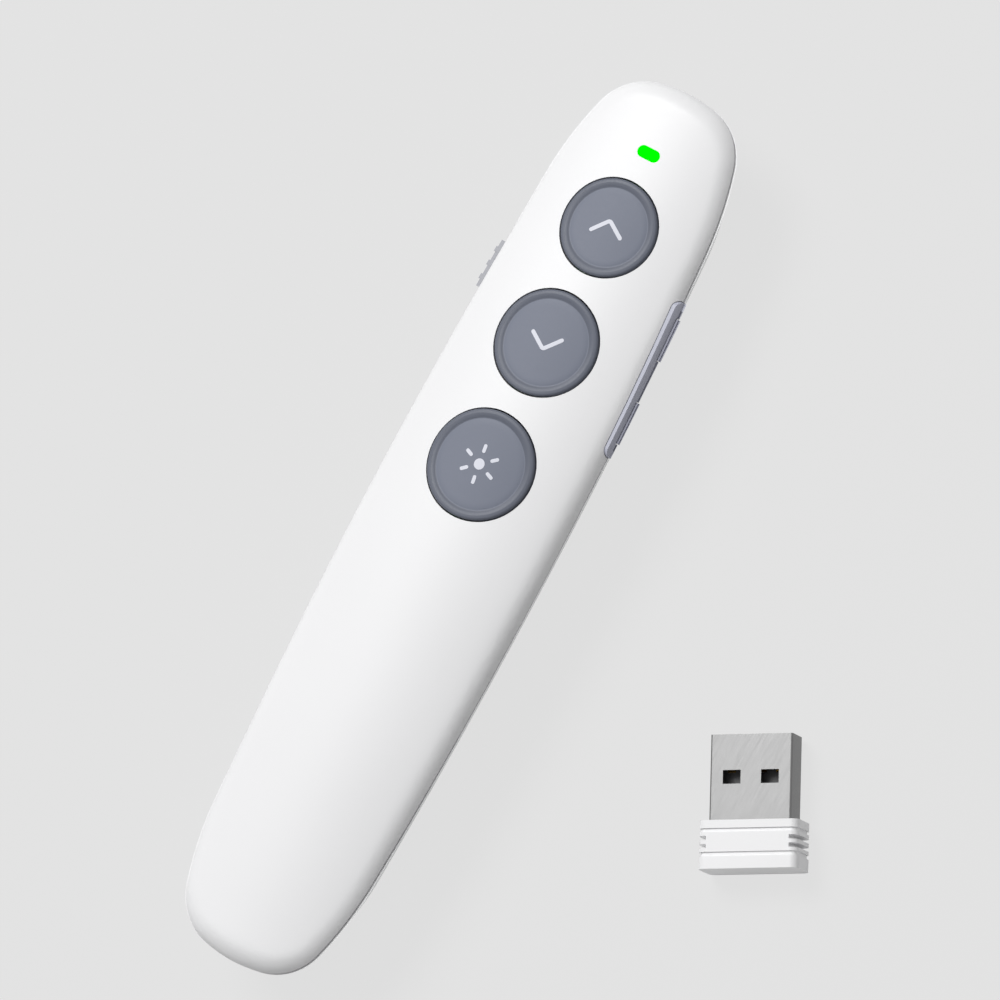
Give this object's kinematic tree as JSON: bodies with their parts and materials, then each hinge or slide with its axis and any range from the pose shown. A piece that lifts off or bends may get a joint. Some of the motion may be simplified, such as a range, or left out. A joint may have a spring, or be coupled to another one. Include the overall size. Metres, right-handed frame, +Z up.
{
  "type": "wireless presentation clicker",
  "caption": "Slim white hand-held presentation clicker with three round grey buttons, side key strip, power slide, laser nose and a separate plug-in receiver.",
  "frame": {"origin": "middle of the flat rest face on the clicker's back, at the table's height", "axes": "+Z up through the buttons, +Y along the body towards the laser end, +X towards the side keys"},
  "size_m": [0.0803, 0.1378, 0.0192],
  "materials": {
    "shell_white": "white moulded plastic, fine satin",
    "button_grey": "blue-grey moulded plastic, satin",
    "strip_lilac": "pale lilac-grey moulded plastic, satin",
    "key_grey": "lilac-grey moulded plastic, satin",
    "knob_grey": "light grey moulded plastic, satin",
    "holder_grey": "dark grey moulded plastic, matt",
    "board_green": "green solder mask over glass-fibre board",
    "chip_black": "black moulded chip package",
    "crystal_can": "drawn steel can, satin",
    "switch_frame": "stamped steel switch frame",
    "plunger_black": "black nylon plunger",
    "plunger_white": "white nylon plunger",
    "led_body": "moulded diode with a clear lens",
    "light_green": "clear plastic light pipe, lit green",
    "laser_brass": "turned brass, bright",
    "lens_clear": "clear moulded lens, polished",
    "window_red": "dark red window plastic, polished",
    "screw_steel": "zinc-plated steel, satin",
    "cell_steel": "cell can with a plain dark sleeve",
    "contact_nickel": "nickel-plated spring steel, bright",
    "plug_steel": "folded nickel-plated steel, satin",
    "tongue_black": "black moulded contact carrier",
    "pin_gold": "gold-plated contact strips, bright"
  },
  "bodies": {
    "housing": {"top_shell": "shell_white", "bottom_shell": "shell_white", "battery_holder": "holder_grey", "case_screws": "screw_steel", "main_board": "board_green", "laser_switch": "switch_frame", "page_down_switch": "switch_frame", "page_up_switch": "switch_frame", "status_led": "led_body", "light_pipe": "light_green", "radio_chip": "chip_black", "clock_crystal": "crystal_can", "side_strip": "strip_lilac", "side_switch_lower": "switch_frame", "side_switch_upper": "switch_frame", "power_switch_body": "switch_frame", "laser_barrel": "laser_brass", "laser_lens": "lens_clear", "laser_window": "window_red", "aaa_cell": "cell_steel", "battery_plate_contact": "contact_nickel", "battery_spring_contact": "contact_nickel"},
    "page_up": {"page_up_button": "button_grey", "page_up_plunger": "plunger_black"},
    "page_down": {"page_down_button": "button_grey", "page_down_plunger": "plunger_black"},
    "laser_key": {"laser_button": "button_grey", "laser_plunger": "plunger_black"},
    "side_upper": {"side_key_upper": "key_grey", "side_plunger_upper": "plunger_white"},
    "side_lower": {"side_key_lower": "key_grey", "side_plunger_lower": "plunger_white"},
    "power_slide": {"power_slide_knob": "knob_grey", "power_switch_lever": "plunger_black"},
    "cover": {"battery_cover": "shell_white"},
    "receiver": {"receiver_body": "shell_white", "receiver_plug": "plug_steel", "receiver_tongue": "tongue_black", "receiver_contacts": "pin_gold"}
  },
  "joints": [
    {"name": "page_up_press", "type": "slide", "parent": "housing", "child": "page_up", "axis": [0, 0, -1], "range_m": [0, 0.0005], "stiffness_N_per_m": 3000},
    {"name": "page_down_press", "type": "slide", "parent": "housing", "child": "page_down", "axis": [0, 0, -1], "range_m": [0, 0.0005], "stiffness_N_per_m": 3000},
    {"name": "laser_press", "type": "slide", "parent": "housing", "child": "laser_key", "axis": [0, 0, -1], "range_m": [0, 0.0005], "stiffness_N_per_m": 3000},
    {"name": "side_upper_press", "type": "slide", "parent": "housing", "child": "side_upper", "axis": [-1, 0, 0], "range_m": [0, 0.00035], "stiffness_N_per_m": 3500},
    {"name": "side_lower_press", "type": "slide", "parent": "housing", "child": "side_lower", "axis": [-1, 0, 0], "range_m": [0, 0.00035], "stiffness_N_per_m": 3500},
    {"name": "power_slide_travel", "type": "slide", "parent": "housing", "child": "power_slide", "axis": [0, 1, 0], "range_m": [0, 0.002]},
    {"name": "cover_slide", "type": "slide", "parent": "housing", "child": "cover", "axis": [0, -1, 0], "range_m": [0, 0.078]},
    {"name": "receiver_lift", "type": "slide", "parent": "housing", "child": "receiver", "axis": [0, 0, 1], "range_m": [0, 0.03]}
  ]
}
